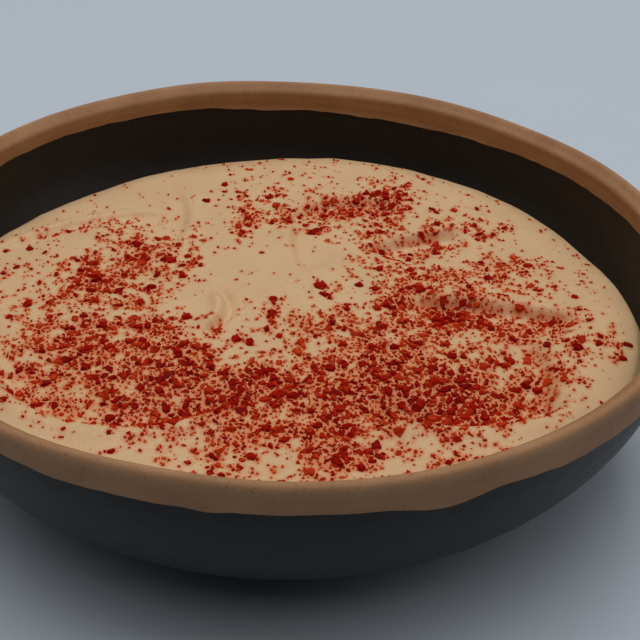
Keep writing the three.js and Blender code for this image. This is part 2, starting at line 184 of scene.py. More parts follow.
# The flakes that stand out: x, y and half width.
STANDOUTS = [
    # back, left of the middle
    (-19, 43, 1.2), (-4.5, 45.5, 1.5), (-12, 48, 1), (-15, 48, 0.8), (-9, 34.5, 1.3), (-11, 30, 1),
    (-11, 38.5, 0.8), (-3.5, 32, 0.8), (-5.5, 18, 0.8), (-21.5, 16.5, 1.5), (-25, 14.5, 1.5), (-22.5, 12.5, 1),
    (-18.5, 12.5, 1), (-24, 21.5, 1.2), (-29, 25.5, 1), (-42.5, 25.5, 0.8), (-62, 21, 1.1), (-53, 18.5, 1),
    (-58, 12, 1), (-60.5, 9.5, 0.9), (-49, 9, 1.1), (-52, 5.5, 1.3), (-40, 6.5, 1.5), (-35, 2, 1.7),
    (-28.5, 3.5, 1.4), (-27.5, 8.5, 1.5),
    # back, right of the middle
    (33, 56.5, 0.9), (25.5, 50.5, 0.9), (29, 44.5, 1), (23, 46.5, 1.6), (8.5, 38, 1.5), (13, 42, 1.1),
    (19, 40.5, 1), (23, 38, 1.3), (18, 34.5, 0.9), (21.5, 31.5, 0.9), (6.5, 29, 1.6), (0.5, 32.5, 1),
    (43, 32.5, 1.3), (40.5, 30, 0.9), (50, 32.5, 1.1), (34, 27, 0.9), (43, 26, 0.8), (27, 18.5, 1.1),
    (27, 12.5, 1.4), (53, 15.5, 1.5), (60, 14.5, 0.8), (43.5, 13, 1.2), (63.5, 8.5, 0.7), (57, 5.5, 0.8),
    (60.5, 1, 1), (7.5, 4, 1.6), (8, 1, 1.2), (15.5, 5, 1.1), (37, 0.5, 1.2), (53, 4.5, 0.9),
    # front, left of the middle
    (-53, -3, 1.5), (-48.5, -2.5, 1.2), (-56, -8, 1.2), (-43, -12, 1.3), (-36, -12, 1.3), (-23, -8.5, 1.2),
    (-20, -8, 1.6), (-34.5, -3.5, 1.3), (-52.5, -26.5, 1.3), (-51.5, -33, 1.4), (-51.5, -37.5, 1.1),
    (-46.5, -37, 0.9), (-42.5, -22.5, 1.6), (-34.5, -19, 1.4), (-19, -24, 1.5), (-22.5, -28, 1.6),
    (-33.5, -26, 1.4), (-32, -39, 1.3), (-30.5, -43.5, 1.2), (-36.5, -41, 1.3), (-30, -51.5, 1.1),
    (-31, -47, 0.7), (-11.5, -53, 1.1), (-12.5, -57, 1), (-16.5, -54.5, 0.8), (-7.5, -55.5, 0.8),
    (-21, -41.5, 1.5), (-9, -37, 1.6), (-8, -40, 1.5), (-3, -44.5, 1.3), (-4.5, -27, 1.5), (-11.5, -27, 1.4),
    # front, right of the middle
    (12.5, -4, 1.1), (6, -14.5, 0.9), (21.5, -17.5, 1.2), (22, -23.5, 1.1), (28.5, -24, 1.4), (19, -10.5, 1.3),
    (19.5, -31, 1.5), (35, -20.5, 1.2), (43, -22, 1.3), (34.5, -2, 1.7), (31.5, -6.5, 1.6), (42, -9.5, 1.2),
    (49.5, -10, 1.3), (56.5, -7, 1.1), (61.5, -9.5, 0.9), (52, -17, 1.4), (57.5, -17, 1.2), (62, -17.5, 1.3),
    (68, -17, 1.3), (66, -21.5, 1.2), (57.5, -23, 0.7), (52.5, -25.5, 1), (59.5, -35, 0.7), (50, -36.5, 1.5),
    (40.5, -42.5, 1.1), (37.5, -39, 1.2), (24.5, -43, 1.2), (31, -47.5, 1.1), (30.5, -51, 1), (29, -53.5, 1),
    (17, -52, 1), (16.5, -49, 1.3), (9.5, -54, 1.6), (6, -43.5, 1.4), (9.5, -33, 1.5), (25, -34.5, 1.4),
    (30.5, -30.5, 1.5), (33.5, -33, 1.6), (44.5, -28.5, 1.4),
]
CHILLI_EVERYWHERE = 0.05
DRIFTS = [
    Patch(-6, -31, 38, 11, 0, 1.0),
    Patch(36, -9, 20, 10, -8, 0.9),
    Patch(34, -32, 15, 8, -15, 0.85),
    Patch(-39, -20, 18, 12, 20, 0.75),
    Patch(-38, 8, 20, 11, 80, 0.62),
    Patch(20, 43, 13, 9, 15, 0.7),
    Patch(-8, 42, 12, 10, 0, 0.32),
    Patch(27, 17, 16, 12, 60, 0.42),
    Patch(45, 22, 16, 9, 90, 0.34),
    Patch(9, -48, 22, 8, 0, 0.5),
    Patch(8, -10, 14, 7, 0, 0.34),
    Patch(60, -15, 8, 6, 0, 0.3),
]
CLEARINGS = [
    Patch(-5, 12, 24, 17, 90, 1.0),
    Patch(-12, -12, 10, 7, 90, 0.7),
    Patch(-30, -50, 16, 6, -12, 0.9),
    Patch(50, -42, 20, 7, 42, 0.95),
    Patch(-36, 50, 24, 12, 40, 0.95),
]

# ---- the chilli's finer sizes: medium, small and fine
# Each has at most one flake in a cell of its grid, so that they lie apart.
FINER_KINDS = [
    FlakeKind(cell=1.5, sizes=(0.56, 1.4), share=0.6, gather=1.45, tilt=16, seed=11),
    FlakeKind(cell=0.95, sizes=(0.34, 0.6), share=2.2, gather=1.1, tilt=14, seed=12),
    FlakeKind(cell=0.8, sizes=(0.2, 0.34), share=0.75, gather=1.0, tilt=8, seed=13),
]
GRID_REACH = 70
FINER_REACH = 69.5  # the radius within which they lie
CELL_FILLED = 0.9  # the share of its cell's width within which a flake may lie
SMALLER_COMMONER = 1.8  # a power: 1 would make all sizes equally common
# How unevenly the chilli fell: the size of the clumps, their strength and the seed.
CLUMPS = [(5.5, 0.4, 71), (2.2, 1.7, 72)]
CLUMP_SHIFT = 0.1  # makes up for the chilli that the clumps add
HEAPED = 2.5  # the share from which the flakes lie on each other
HEAPED_PAINTED_SHADE = 0.34  # painted shade: how much darker the flakes are coloured there, for the shade they cast on each other
FINE_EVERYWHERE = 0.035  # the share where no patch below adds any
FINE_IN_CLEARINGS = 0.01  # and where a clearing takes away all of the rest
# Where the finer chilli fell, which the largest flakes show only roughly.
FINE_DRIFTS = [
    Patch(-10, -33, 12, 6.5, -6, 5.4),
    Patch(-8, -43, 8, 6, 60, 0.8),
    Patch(8, -44, 6, 11, 10, 3.2),
    Patch(3, -32, 10, 7, 0, 0.6),
    Patch(16, -31, 9, 9, 0, 1.7),
    Patch(26, -28, 9, 7, -30, 4.0),
    Patch(33, -34, 8, 6, 0, 4.6),
    Patch(45, -36, 7, 4, 10, 0.9),
    Patch(25, -48, 12, 6, 8, 0.45),
    Patch(-29, -23, 13, 9, 5, 2.0),
    Patch(-43, -22, 9, 9, 0, 1.5),
    Patch(-28, -36, 9, 6, -20, 1.3),
    Patch(-14, -53, 6, 5, 0, 0.15),
    Patch(-21, -42, 6, 6, 0, 0.9),
    Patch(20, -41, 6, 5, 0, 0.8),
    Patch(-41, 3, 8, 6, 60, 0.9),
    Patch(-35, 12, 9, 5.5, 20, 1.5),
    Patch(-27, 19, 3.5, 8, 20, 0.2),
    Patch(-24, 14, 5, 6, 0, 0.45),
    Patch(-36, 24, 7, 5, 0, 0.35),
    Patch(-52, 0, 7, 5, 0, 0.25),
    Patch(-42, -10, 14, 6, 0, 0.25),
    Patch(-31, 0, 7, 6, 0, 0.15),
    Patch(-24, -10, 7, 6, 0, 0.1),
    Patch(-57, 10, 6, 6, 0, 0.05),
    Patch(-37, 33, 7, 3, 10, 0.15),
    Patch(32, -4, 9.5, 6.5, 0, 2.5),
    Patch(48, -9, 9, 5, -8, 1.0),
    Patch(58, -15, 7, 6, -30, 0.25),
    Patch(67, -18, 4, 4, 0, 0.3),
    Patch(42, -20, 12, 6, 0, 0.35),
    Patch(50, -28, 7, 5, 40, 0.75),
    Patch(18, -17, 9, 7, 0, 0.95),
    Patch(4, -10, 10, 6.5, 0, 0.55),
    Patch(8, 4, 3, 3, 0, 0.3),
    Patch(29, 8, 6, 7, 0, 0.5),
    Patch(19, 14, 4, 12, 0, 0.2),
    Patch(44, 13, 7, 5, 30, 0.65),
    Patch(54, 16, 4, 3, 0, 0.5),
    Patch(52, 5, 5, 4, 0, 0.4),
    Patch(22, 22, 6, 6, 0, 0.5),
    Patch(43, 31, 5, 3, -50, 0.7),
    Patch(34, 27, 6, 6, 0, 0.3),
    Patch(50, 33, 2, 2, 0, 0.4),
    Patch(15, 42, 8, 4, 28, 1.4),
    Patch(24, 43, 3.5, 7, 0, 1.6),
    Patch(9, 38, 3, 3, 0, 0.15),
    Patch(6.5, 30, 4, 2, 10, 0.9),
    Patch(-9, 34, 3, 7, 0, 1.2),
    Patch(0, 35, 2, 5, 0, 0.8),
    Patch(-4, 47, 3, 5, 0, 0.2),
    Patch(-12, 47, 3, 4, 0, 0.05),
    Patch(6, 46, 2, 5, 0, 0.2),
    Patch(29, 46, 3, 6, 0, 0.03),
    Patch(21, 30, 4, 8, 15, 0.45),
    Patch(33, 57, 2, 2, 0, 0.15),
    Patch(-50, 30, 9, 0.8, 25, 0.4),
]

# ---- the chilli's shapes, as shares of a flake's half width unless a comment says otherwise
NARROWNESS = (0.45, 1.0)  # a flake's width as a share of its length
CHIP_SKEW = 0.3  # how far its corners are off an even ring, as a share of the step between two
CHIP_REACH = (0.5, 1.15)
CHIP_THICKNESS_RANGE = (0.7, 1.3)  # of the thickness of its kind
CHIP_ROUGHNESS = 0.2  # of its thickness
CHIP_MIDDLE_RANGE = (0.8, 1.2)  # of its thickness
CHIP_MIDDLE_SHIFT = 0.1
CHIP_TOP = 0.78  # how far out the corners of its top lie, as a share of those under them
CHIP_SUNK = 0.1
GRAIN_SKEW = 0.25
GRAIN_REACH = (0.7, 1.2)
GRAIN_PEAK_SHIFT = 0.2  # of its reach
GRAIN_HEIGHT = 0.7
GRAIN_SUNK = 0.04

# ---- the chilli's colour in the hummus around it
STAIN_HALF = 80  # half the width of the grid that spreads the colour
STAIN_CELL = 0.25
STAIN_SPREAD = 0.6
STAIN_STRENGTH = 3.0

# ---- camera, from the middle of the rim
CAMERA_ELEVATION = 28.644  # degrees
CAMERA_DISTANCE = 3.3762 * RIM_RADIUS
CAMERA_YAW = -0.0260  # radians, away from the middle of the rim
CAMERA_PITCH = -0.0650
CAMERA_ROLL = 0.0197
FRAME_PIXELS = 640
FOCAL_PIXELS = 1333
SENSOR_WIDTH = 36

# ---- light: soft squares around the bowl, each with its azimuth and elevation in degrees and its watts
LIGHT_DISTANCE = 1.5  # metres
LIGHT_SIDE = 0.9
LIGHTS = {
    "overhead": (90, 89.9, 4.55),
    "back": (90, 60, 4.6),
    "front": (-90, 65, 2.9),
    "high_right": (0, 65, 1.3),
    "high_left": (180, 65, 1.7),
    "low_right": (0, 30, 2.2),
    "low_left": (180, 30, 0.95),
}
SKY_COLOUR = (0.9, 0.95, 1.0, 1)
SKY_STRENGTH = 0.01
FLOOR_REACH = 3000

LATTICE = 128  # cells before the noise repeats


# ---- shared shapes


def superellipse(share, fullness):
    """How far out a wall is, as a share, at a share of its depth."""
    return (1 - np.clip(share, 0, 1) ** fullness) ** (1 / fullness)


def smoothstep(x, low, high):
    t = np.clip((x - low) / (high - low), 0, 1)
    return t * t * (3 - 2 * t)


def value_noise(x, y, cell, seed):
    """Smooth noise from -1 to 1, with one random value for each square cell."""
    lattice = np.random.default_rng(seed).uniform(-1, 1, (LATTICE, LATTICE))
    column = np.floor(x / cell).astype(int)
    row = np.floor(y / cell).astype(int)
    s = smoothstep(x / cell - column, 0, 1)
    t = smoothstep(y / cell - row, 0, 1)

    def at(dx, dy):
        return lattice[(column + dx) % LATTICE, (row + dy) % LATTICE]

    near = at(0, 0) * (1 - s) + at(1, 0) * s
    far = at(0, 1) * (1 - s) + at(1, 1) * s
    return near * (1 - t) + far * t


def outer_radius(z):
    depth = BOWL_HEIGHT - LIP_OUTER_ROUND
    share = (depth - z) / (depth - FOOT_HEIGHT)
    return BELLY_RADIUS + (RIM_RADIUS - BELLY_RADIUS) * superellipse(share, BELLY_FULLNESS)


def lip_curve(steps=10):
    """The lip from outside to inside, as (radius, height): a round, a slope inwards and a larger round."""
    slope_normal = math.radians(90 + LIP_BEVEL_TILT)

    def towards(angle):
        return np.array([math.cos(angle), math.sin(angle)])

    outer_centre = np.array([RIM_RADIUS - LIP_OUTER_ROUND, BOWL_HEIGHT - LIP_OUTER_ROUND])
    inner_centre = outer_centre + towards(slope_normal + math.pi / 2) * LIP_BEVEL
    inner_centre = inner_centre + towards(slope_normal) * (LIP_OUTER_ROUND - LIP_INNER_ROUND)
    outer = [outer_centre + towards(a) * LIP_OUTER_ROUND for a in np.linspace(0, slope_normal, steps)]
    inner = [inner_centre + towards(a) * LIP_INNER_ROUND for a in np.linspace(slope_normal, math.pi, steps)]
    return np.array(outer + inner)


LIP = lip_curve()
INSIDE_TOP_RADIUS, INSIDE_TOP = LIP[-1]


def inner_radius(z):
    share = (INSIDE_TOP - z) / (INSIDE_TOP - FLOOR_THICKNESS)
    return INSIDE_TOP_RADIUS * superellipse(share, INSIDE_FULLNESS)


EDGE_RADIUS = inner_radius(FILL_LEVEL - EDGE_DROP)


def stroke_height(stroke, x, y):
    """The level that one mark of the spoon adds, below zero in its furrow."""
    dx = x - stroke.x
    dy = y - stroke.y
    middle = math.radians((stroke.start + stroke.end) / 2)
    half = math.radians((stroke.end - stroke.start) / 2)
    turn = np.arctan2(dy, dx) - middle
    off = np.abs(np.arctan2(np.sin(turn), np.cos(turn))) / half
    fade = 1 - smoothstep(off, 1 - STROKE_FADE, 1 + STROKE_FADE)
    across = np.hypot(dx, dy) - stroke.radius
    side = np.where(across < 0, stroke.inner, stroke.outer)
    furrow = -stroke.depth * np.exp(-((across / side) ** 2))
    from_crest = (across - CREST_AT * stroke.outer) / (CREST_WIDTH * stroke.outer)
    crest = stroke.crest * np.exp(-(from_crest**2))
    return fade * (furrow + crest)


def surface_height(x, y):
    """The level of the hummus over the foot."""
    r = np.hypot(x, y)
    tilt = FILL_TILT * (r / RIM_RADIUS) * np.cos(np.arctan2(y, x) - math.radians(FILL_TILT_TOWARDS))
    away = (x - MOUND["x"]) ** 2 + (y - MOUND["y"]) ** 2
    mound = MOUND["rise"] * np.exp(-away / MOUND["radius"] ** 2)
    fall = np.clip((r - (EDGE_RADIUS - EDGE_WIDTH)) / EDGE_WIDTH, 0, 1)
    rounded = EDGE_DROP * (1 - np.sqrt(1 - fall**2))
    marks = sum(stroke_height(stroke, x, y) for stroke in STROKES)
    return FILL_LEVEL + tilt + mound + (1 - fall**2) * marks - rounded


def fine_relief(x, y):
    """Slight unevenness that the spoon leaves in a thick paste."""
    return sum(height * value_noise(x, y, cell, seed) for cell, height, seed in RELIEF)


def around(angles, bumps):
    """What smooth bumps add at each angle."""
    total = 0 * angles
    for bump in bumps:
        away = (np.degrees(angles) - bump.azimuth + 180) % 360 - 180
        total = total + bump.height * np.exp(-((away / bump.width) ** 2))
    return total


def edge_dip(x, y):
    """How much lower the edge of the hummus lies in the direction of each place."""
    angles = np.arctan2(y, x)
    edge_x = EDGE_WANDER_RADIUS * np.cos(angles)
    edge_y = EDGE_WANDER_RADIUS * np.sin(angles)
    wander = EDGE_WANDER * value_noise(edge_x, edge_y, EDGE_WANDER_CELL, EDGE_WANDER_SEED)
    return around(angles, EDGE_DIPS + EDGE_TOUCHES) + wander


def finished_height(x, y):
    """The level of the hummus with all its finish."""
    r = np.hypot(x, y)
    dip = edge_dip(x, y) * smoothstep(r, EDGE_DIP_FROM, EDGE_DIP_FULL)
    beyond = BEYOND_EDGE_SLOPE * np.clip(r - EDGE_RADIUS, 0, None)
    return surface_height(x, y) + fine_relief(x, y) - dip - beyond


def surface_normals(x, y, step=0.4):
    slope_x = (finished_height(x + step, y) - finished_height(x - step, y)) / (2 * step)
    slope_y = (finished_height(x, y + step) - finished_height(x, y - step)) / (2 * step)
    normals = np.stack([-slope_x, -slope_y, np.ones_like(slope_x)], axis=1)
    return normals / np.linalg.norm(normals, axis=1)[:, None]


def patch_share(patch, x, y):
    """How much chilli a patch has at each place."""
    turn = math.radians(patch.turn)
    dx = x - patch.x
    dy = y - patch.y
    along = (dx * math.cos(turn) + dy * math.sin(turn)) / patch.long
    across = (dy * math.cos(turn) - dx * math.sin(turn)) / patch.wide
    return patch.share * np.exp(-(along**2 + across**2))


def outside_clearings(x, y):
    """The share of the chilli that the clearings leave."""
    return math.prod(1 - patch_share(bare, x, y) for bare in CLEARINGS)


def chilli_share(x, y):
    """How thickly the model's chilli lies, from 0 to 1."""
    fallen = CHILLI_EVERYWHERE + sum(patch_share(drift, x, y) for drift in DRIFTS)
    return np.clip(fallen * outside_clearings(x, y), 0, 1)


def fine_chilli_share(x, y):
    """How thickly the finer chilli lies: zero where there is none, 1 and more where it hides the hummus."""
    uneven = sum(strength * value_noise(x, y, cell, seed) for cell, strength, seed in CLUMPS)
    everywhere = FINE_IN_CLEARINGS + (FINE_EVERYWHERE - FINE_IN_CLEARINGS) * outside_clearings(x, y)
    fallen = everywhere + sum(patch_share(drift, x, y) for drift in FINE_DRIFTS)
    return fallen * np.exp(uneven - CLUMP_SHIFT)


# ---- meshes


def mesh_object(name, points, faces, smooth=True):
    """An object from points in millimetres and faces given by their points."""
    mesh = bpy.data.meshes.new(name)
    mesh.from_pydata((points * MM).tolist(), [], faces)
    mesh.polygons.foreach_set("use_smooth", [smooth] * len(mesh.polygons))
    mesh.update()
    thing = bpy.data.objects.new(name, mesh)
    bpy.context.scene.collection.objects.link(thing)
    return thing


def ring_faces(rows, sectors):
    """Quads between closed rings of points, and a fan to the single point at each end."""
    first = 1
    last = first + rows * sectors
    here = np.arange(sectors)
    after = (here + 1) % sectors
    quads = []
    for row in range(rows - 1):
        low = first + row * sectors
        high = low + sectors
        quads += np.stack([low + here, low + after, high + after, high + here], axis=1).tolist()
    end = first + (rows - 1) * sectors
    start_fan = np.stack([np.zeros(sectors, int), first + after, first + here], axis=1).tolist()
    end_fan = np.stack([np.full(sectors, last), end + here, end + after], axis=1).tolist()
    return start_fan + quads + end_fan


def add_values(thing, name, values):
    """Gives each point of an object a value that its material reads."""
    attribute = thing.data.attributes.new(name, "FLOAT", "POINT")
    attribute.data.foreach_set("value", values.astype(np.float32))


# ---- the bowl


def bowl_curve():
    """The bowl's section: from the middle of the foot, out, over the lip and to the middle of its inside."""
    turns = np.linspace(0, math.pi / 2, CURVE_STEPS)
    top = BOWL_HEIGHT - LIP_OUTER_ROUND
    heights = top - (top - FOOT_HEIGHT) * np.cos(turns)
    belly = np.stack([outer_radius(heights), heights], axis=1)
    belly = belly[belly[:, 0] > BELLY_FROM]
    inside_heights = INSIDE_TOP - (INSIDE_TOP - FLOOR_THICKNESS) * np.cos(turns)
    inside = np.stack([inner_radius(inside_heights), inside_heights], axis=1)[::-1]
    foot = np.array([
        [0, 0],
        [FOOT_RADIUS - FOOT_CHAMFER, 0],
        [FOOT_RADIUS, FOOT_CHAMFER],
        [FOOT_RADIUS, FOOT_HEIGHT],
    ])
    return np.concatenate([foot, belly, LIP[1:], inside[1:]])


def along_curve(curve):
    """The distance along a curve of each of its points."""
    return np.concatenate([[0], np.cumsum(np.linalg.norm(np.diff(curve, axis=0), axis=1))])


def sagging(angles, sags, seed):
    """How much lower a glaze line runs at each angle: its sags and its smaller waves."""
    x = SAG_RADIUS * np.cos(angles)
    y = SAG_RADIUS * np.sin(angles)
    waves = (height * value_noise(x, y, cell, seed + i) for i, (cell, height) in enumerate(SAG_WAVES))
    return around(angles, sags) + sum(waves)


def wall_places(outside, inside, end):
    """The distance along the section of each row of points. outside and inside are where the glaze ends."""
    outer = np.linspace(0, 1, OUTER_ROWS + 1)[1:, None] ** OUTER_ROW_SPREAD * outside
    clay = outside + np.linspace(0, 1, CLAY_ROWS + 1)[1:, None] * (inside - outside)
    inner = inside + np.linspace(0, 1, INNER_ROWS + 1)[1:-1, None] ** INNER_ROW_SPREAD * (end - inside)
    return np.concatenate([outer, clay, inner])


def wall_normals(places, distance, curve, step=0.05):
    """The direction out of the wall at each place, as its parts along the radius and up."""
    across = np.interp(places + step, distance, curve[:, 0]) - np.interp(places - step, distance, curve[:, 0])
    up = np.interp(places + step, distance, curve[:, 1]) - np.interp(places - step, distance, curve[:, 1])
    size = np.hypot(across, up) + 1e-9
    return up / size, -across / size


def glaze_height(behind):
    """How thick the glaze is at each distance behind its edge, with a bead just behind that edge."""
    bead = GLAZE_BEAD * np.exp(-(((behind - GLAZE_BEAD_WIDTH) / GLAZE_BEAD_WIDTH) ** 2))
    return np.where(behind > 0, smoothstep(behind, 0, GLAZE_EDGE) * (GLAZE_THICKNESS + bead), 0)


def lip_roll(past_lip):
    """How much fuller the inside of the wall is at each distance past the top of the lip."""
    rising = smoothstep(past_lip, LIP_ROLL_FROM, LIP_ROLL_FULL)
    return LIP_ROLL * rising * (1 - smoothstep(past_lip, LIP_ROLL_FULL, LIP_ROLL_TO))


def bowl_points(places, angles, curve, behind, past_lip):
    """The bowl's rings of points: its section with the glaze and the unevenness of a thrown bowl."""
    distance = along_curve(curve)
    radius = np.interp(places, distance, curve[:, 0])
    height = np.interp(places, distance, curve[:, 1])
    normal_r, normal_z = wall_normals(places, distance, curve)
    above_foot = smoothstep(places, FINISH_FROM, FINISH_FULL)
    drift = THROWING_DRIFT * np.sin(angles * 2 + 0.7)
    lines = THROWING_DEPTH * np.sin(2 * math.pi * height / THROWING_PITCH + drift)
    offset = glaze_height(behind) * above_foot + above_foot * lines + lip_roll(past_lip)
    waves = sum(depth * np.sin(count * angles + start) for count, depth, start in OUT_OF_ROUND)
    radius = radius + normal_r * offset + above_foot * waves * (height / BOWL_HEIGHT)
    swell = above_foot * around(angles, RIM_SWELLS)
    height = height + normal_z * offset + swell * (height / BOWL_HEIGHT) ** 2
    points = np.stack([radius * np.cos(angles), radius * np.sin(angles), height], axis=2).reshape(-1, 3)
    return np.concatenate([[[0, 0, 0]], points, [[0, 0, FLOOR_THICKNESS + GLAZE_THICKNESS]]])


def paint_bowl(bowl, past_lip):
    """Gives each point of the bowl how far outside it is, and each face its clay or its glaze."""
    up_to_lip = smoothstep(past_lip, *OUTSIDE_TO_LIP)
    past_it = smoothstep(past_lip, *LIP_TO_INSIDE)
    outside_share = 1 - (up_to_lip + past_it) / 2
    add_values(bowl, "outside", np.concatenate([[1], outside_share.ravel(), [0]]))
    bowl.data.materials.append(clay_material())
    bowl.data.materials.append(glaze_material())
    face_rows = np.repeat(np.arange(len(past_lip) - 1), BOWL_SECTORS)
    glazed_rows = (face_rows < OUTER_ROWS - 1) | (face_rows >= OUTER_ROWS + CLAY_ROWS - 1)
    slots = np.concatenate([np.ones(BOWL_SECTORS), glazed_rows, np.ones(BOWL_SECTORS)]).astype(int)
    heights_of_faces = np.array([face.center.z for face in bowl.data.polygons]) / MM
    slots[heights_of_faces < BARE_FOOT_HEIGHT] = 0
    bowl.data.polygons.foreach_set("material_index", slots.tolist())
    bowl.data.update()


def make_bowl():
    curve = bowl_curve()
    distance = along_curve(curve)
    lip_at = distance[np.argmax(curve[:, 1])]
    angles = np.linspace(0, 2 * math.pi, BOWL_SECTORS, endpoint=False)
    # On the upright walls a depth under the lip is nearly a distance along the section.
    outside = lip_at - OUTER_GLAZE_DEPTH - sagging(angles, OUTER_SAGS, OUTER_SAG_SEED)
    lip_width = (RIM_RADIUS - INSIDE_TOP_RADIUS) / 2
    inside = lip_at + INNER_GLAZE_DEPTH + lip_width + sagging(angles, INNER_SAGS, INNER_SAG_SEED)
    places = wall_places(outside, inside, distance[-1])
    behind = np.maximum(outside - places, places - inside)  # distance behind the edge of the glaze
    points = bowl_points(places, angles, curve, behind, places - lip_at)
    bowl = mesh_object("bowl_ware", points, ring_faces(len(places), BOWL_SECTORS))
    paint_bowl(bowl, places - lip_at)
    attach(bowl, "root")
    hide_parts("bowl")


# ---- the hummus


def hummus_underside(seat_heights, angles):
    """Rings of points that follow the inside of the bowl from its floor to under the edge of the hummus."""
    low = FLOOR_THICKNESS + UNDERSIDE_GAP
    shares = np.linspace(0.02, 1, UNDERSIDE_ROWS)[:, None] ** UNDERSIDE_ROW_SPREAD
    heights = low + (seat_heights - low) * shares
    radius = inner_radius(heights)
    return np.stack([radius * np.cos(angles), radius * np.sin(angles), heights], axis=2)


def make_hummus(stain):
    """The hummus up to its level. stain gives how much of the chilli's colour each place has."""
    angles = np.linspace(0, 2 * math.pi, SURFACE_SECTORS, endpoint=False)
    tilt = FILL_TILT * FILL_TILT_AT_EDGE * np.cos(angles - math.radians(FILL_TILT_TOWARDS))
    edge_height = FILL_LEVEL - EDGE_DROP + tilt - edge_dip(np.cos(angles), np.sin(angles))
    edge = inner_radius(edge_height) + SEAT
    radius = np.linspace(1, 0, SURFACE_RINGS + 1)[:-1, None] ** SURFACE_RING_SPREAD * edge
    x = radius * np.cos(angles)
    y = radius * np.sin(angles)
    surface = np.stack([x, y, finished_height(x, y)], axis=2)
    rings = np.concatenate([hummus_underside(surface[0, :, 2] - SEAT_DEPTH, angles), surface])
    bottom = [0, 0, FLOOR_THICKNESS + UNDERSIDE_GAP]
    top = [0, 0, float(finished_height(np.array([0.0]), np.array([0.0]))[0])]
    points = np.concatenate([[bottom], rings.reshape(-1, 3), [top]])
    hummus = mesh_object("hummus_paste", points, ring_faces(len(rings), SURFACE_SECTORS))
    add_values(hummus, "stain", stain(points[:, 0], points[:, 1]))
    hummus.data.materials.append(hummus_material())
    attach(hummus, "root")
    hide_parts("hummus")


# ---- the chilli


def make_random(seed):
    """The same seeded run of numbers from 0 to 1 as the model's."""
    state = seed
    while True:
        state = (state * 48271) % 2147483647
        yield state / 2147483647


def large_flake_places():
    """The places of the flakes that the model has: x, y, half width, turn and tilt."""
    draw = make_random(FLAKE_SEED)
    places = []
    for x, y, size in STANDOUTS:
        turn = next(draw) * 360
        tilt = (2 * next(draw) - 1) * FLAKE_TILT
        places.append((x, y, size, math.radians(turn), math.radians(tilt)))
    while len(places) < FLAKE_COUNT:
        x = (2 * next(draw) - 1) * FLAKE_REACH
        y = (2 * next(draw) - 1) * FLAKE_REACH
        chance = next(draw)
        too_far = math.hypot(x, y) > FLAKE_REACH
        too_close = any(math.hypot(other[0] - x, other[1] - y) < FLAKE_SPACING for other in places)
        if too_far or too_close or chance > float(chilli_share(x, y)):
            continue
        size = FLAKE_SMALLEST + (FLAKE_LARGEST - FLAKE_SMALLEST) * next(draw) ** 2
        turn = next(draw) * 360
        tilt = (2 * next(draw) - 1) * FLAKE_TILT
        places.append((x, y, size, math.radians(turn), math.radians(tilt)))
    return np.array(places)


def scattered_places(kind):
    """Places of one of the finer kinds, as large_flake_places gives them, drawn where the chilli fell."""
    rng = np.random.default_rng(kind.seed)
    corners = np.arange(-GRID_REACH, GRID_REACH, kind.cell)
    x, y = np.meshgrid(corners, corners)
    every_other = 0.5 * (np.arange(len(corners)) % 2)[:, None]  # shifts every other row by half a cell
    x = x + kind.cell * (rng.uniform(0, CELL_FILLED, x.shape) + every_other)
    y = y + kind.cell * rng.uniform(0, CELL_FILLED, y.shape)
    chance = 1 - np.exp(-kind.share * fine_chilli_share(x, y) ** kind.gather)
    keep = (rng.random(x.shape) < chance) & (np.hypot(x, y) < FINER_REACH)
    x = x[keep]
    y = y[keep]
    low, high = kind.sizes
    size = low + (high - low) * rng.random(len(x)) ** SMALLER_COMMONER
    turn = rng.uniform(0, 2 * math.pi, len(x))
    tilt = rng.normal(0, math.radians(kind.tilt), len(x))
    return np.stack([x, y, size, turn, tilt], axis=1)


def placed_points(local, places):
    """Points of every flake, brought from its own flat frame to where it lies on the hummus."""
    x, y, _, turn, tilt = places.T
    cos_tilt = np.cos(tilt)[:, None]
    sin_tilt = np.sin(tilt)[:, None]
    tilted_y = local[:, :, 1] * cos_tilt - local[:, :, 2] * sin_tilt
    tilted_z = local[:, :, 1] * sin_tilt + local[:, :, 2] * cos_tilt
    cos_turn = np.cos(turn)[:, None]
    sin_turn = np.sin(turn)[:, None]
    flat_x = local[:, :, 0] * cos_turn - tilted_y * sin_turn
    flat_y = local[:, :, 0] * sin_turn + tilted_y * cos_turn
    normal = surface_normals(x, y)
    side = np.stack([normal[:, 2], np.zeros(len(x)), -normal[:, 0]], axis=1)
    side /= np.linalg.norm(side, axis=1)[:, None]
    forward = np.cross(normal, side)
    base = np.stack([x, y, finished_height(x, y)], axis=1)
    return (
        base[:, None, :]
        + flat_x[:, :, None] * side[:, None, :]
        + flat_y[:, :, None] * forward[:, None, :]
        + tilted_z[:, :, None] * normal[:, None, :]
    )


def corner_ring(size, corners, rng, skew, reach_range):
    """An uneven ring of corners around each flake, which is narrower one way."""
    shape = (len(size), corners)
    angle = (np.arange(corners) + rng.uniform(-skew, skew, shape)) * 2 * math.pi / corners
    reach = size * rng.uniform(*reach_range, shape)
    narrow = rng.uniform(*NARROWNESS, (len(size), 1))
    return reach * np.cos(angle), reach * np.sin(angle) * narrow, reach


